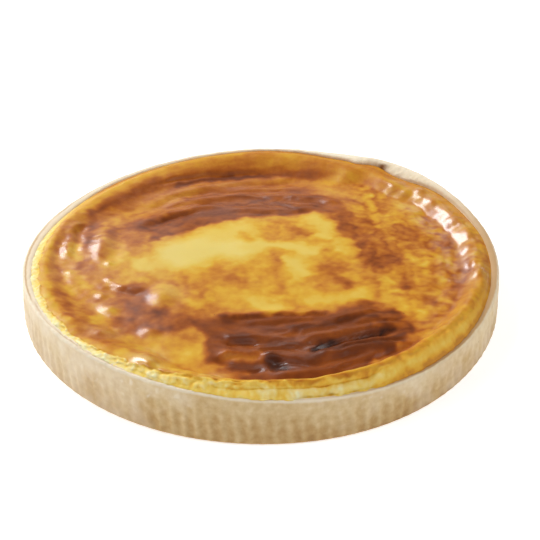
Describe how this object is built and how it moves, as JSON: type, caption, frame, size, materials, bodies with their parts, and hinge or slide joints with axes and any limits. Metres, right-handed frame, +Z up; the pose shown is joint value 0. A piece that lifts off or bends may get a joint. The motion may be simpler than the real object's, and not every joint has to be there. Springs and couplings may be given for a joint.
{
  "type": "custard tart",
  "caption": "Whole baked custard tart: a low ribbed shortcrust case filled to the brim with custard under a browned, wrinkled skin.",
  "frame": {"origin": "centre of the tart's underside, on the surface it rests on", "axes": "+Z up; +X to the right and -Y towards the viewer in the picture's view"},
  "size_m": [0.2706, 0.2729, 0.0318],
  "materials": {
    "pastry": "dry pale shortcrust, faintly floury, a little browner at the foot; matte_plastic stands in for baked dough",
    "custard": "set custard with a glossy baked skin, yellow to deep brown; gloss_plastic stands in for it"
  },
  "bodies": {
    "root": {"pastry_case": "pastry", "custard": "custard"}
  },
  "joints": []
}
